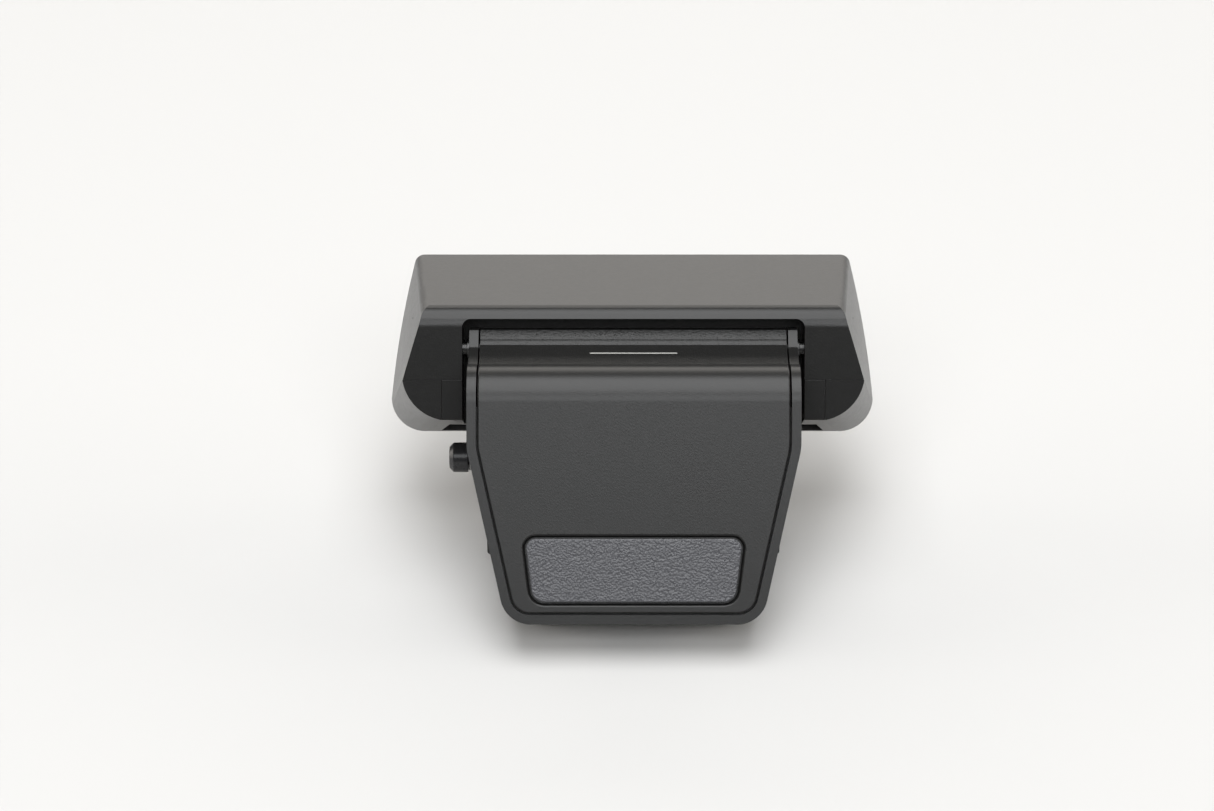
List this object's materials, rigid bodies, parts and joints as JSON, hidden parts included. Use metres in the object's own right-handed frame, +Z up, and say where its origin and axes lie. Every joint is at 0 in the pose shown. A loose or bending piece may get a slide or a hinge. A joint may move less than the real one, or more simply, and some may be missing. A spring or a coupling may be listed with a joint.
{
  "type": "speedlight flash",
  "caption": "Small folding shoe-mount speedlight: wide flash head tilting on a slim arm that unfolds from a base with a standard accessory shoe foot.",
  "frame": {"origin": "the middle contact's place on the shoe foot's underside", "axes": "+X to the viewer's right, +Y away from the viewer, the way the foot slides into its shoe, +Z up"},
  "size_m": [0.0458, 0.0349, 0.0231],
  "materials": {
    "case_plastic": "satin black moulded plastic with a fine spark-eroded grain",
    "foot_plastic": "plain black moulded plastic",
    "ridge_plastic": "black moulded plastic, coarse grain on the ridge's flat facet",
    "pad_rubber": "black rubber with a coarse pebbled texture",
    "white_ink": "white inlaid line",
    "button_plastic": "satin black turned plastic",
    "black_steel": "blackened steel",
    "steel": "bright steel",
    "contact_brass": "gold-plated brass",
    "board_laminate": "green circuit board laminate",
    "capacitor_sleeve": "shrink sleeve",
    "coil_tape": "yellow winding tape",
    "window_clear": "clear moulded plastic with fine ribs",
    "reflector_aluminium": "bright rolled aluminium",
    "tube_glass": "clear glass",
    "holder_rubber": "pale silicone rubber"
  },
  "bodies": {
    "base": {"shoe_foot": "foot_plastic", "base_housing": "case_plastic", "base_cover": "foot_plastic", "base_plate": "steel", "base_board": "board_laminate", "base_screws": "steel", "fold_hinge_pin": "steel", "fold_torsion_spring": "steel", "button_guide": "case_plastic", "contact_spring_1": "steel", "contact_spring_2": "steel", "contact_spring_3": "steel", "contact_spring_4": "steel", "contact_spring_5": "steel", "button_spring": "steel"},
    "arm": {"arm_frame": "case_plastic", "rear_panel": "case_plastic", "thumb_pad": "pad_rubber", "hinge_cover": "ridge_plastic", "index_line": "white_ink", "front_cover": "case_plastic", "arm_screws": "steel", "main_capacitor": "capacitor_sleeve", "circuit_board": "board_laminate", "transformer": "coil_tape", "trigger_coil": "coil_tape", "pivot_pins": "black_steel", "pivot_washers": "black_steel"},
    "head": {"head_top_shell": "case_plastic", "head_end_cap_left": "case_plastic", "head_end_cap_right": "case_plastic", "head_bottom_cover": "case_plastic", "window": "window_clear", "reflector": "reflector_aluminium", "flash_tube": "tube_glass", "tube_holders": "holder_rubber", "tube_electrodes": "steel"},
    "release": {"release_button": "button_plastic"},
    "contact_1": {"contact_pin_1": "contact_brass"},
    "contact_2": {"contact_pin_2": "contact_brass"},
    "contact_3": {"contact_pin_3": "contact_brass"},
    "contact_4": {"contact_pin_4": "contact_brass"},
    "contact_5": {"contact_pin_5": "contact_brass"}
  },
  "joints": [
    {"name": "fold", "type": "hinge", "parent": "base", "child": "arm", "pos_m": [0, -0.0071, 0.0056], "axis": [1, 0, 0], "range_deg": [0, 33]},
    {"name": "bounce", "type": "hinge", "parent": "arm", "child": "head", "pos_m": [0, 0.00887, 0.01918], "axis": [1, 0, 0], "range_deg": [0, 55]},
    {"name": "release_slide", "type": "slide", "parent": "base", "child": "release", "axis": [1, 0, 0], "range_m": [0, 0.001], "stiffness_N_per_m": 200, "springref_m": -0.0012, "deforming": ["button_spring"]},
    {"name": "contact_slide_1", "type": "slide", "parent": "base", "child": "contact_1", "axis": [0, 0, 1], "range_m": [0, 0.0005], "stiffness_N_per_m": 100, "springref_m": -0.0008, "deforming": ["contact_spring_1"]},
    {"name": "contact_slide_2", "type": "slide", "parent": "base", "child": "contact_2", "axis": [0, 0, 1], "range_m": [0, 0.0005], "stiffness_N_per_m": 100, "springref_m": -0.0008, "deforming": ["contact_spring_2"]},
    {"name": "contact_slide_3", "type": "slide", "parent": "base", "child": "contact_3", "axis": [0, 0, 1], "range_m": [0, 0.0005], "stiffness_N_per_m": 100, "springref_m": -0.0008, "deforming": ["contact_spring_3"]},
    {"name": "contact_slide_4", "type": "slide", "parent": "base", "child": "contact_4", "axis": [0, 0, 1], "range_m": [0, 0.0005], "stiffness_N_per_m": 100, "springref_m": -0.0008, "deforming": ["contact_spring_4"]},
    {"name": "contact_slide_5", "type": "slide", "parent": "base", "child": "contact_5", "axis": [0, 0, 1], "range_m": [0, 0.0005], "stiffness_N_per_m": 100, "springref_m": -0.0008, "deforming": ["contact_spring_5"]}
  ]
}
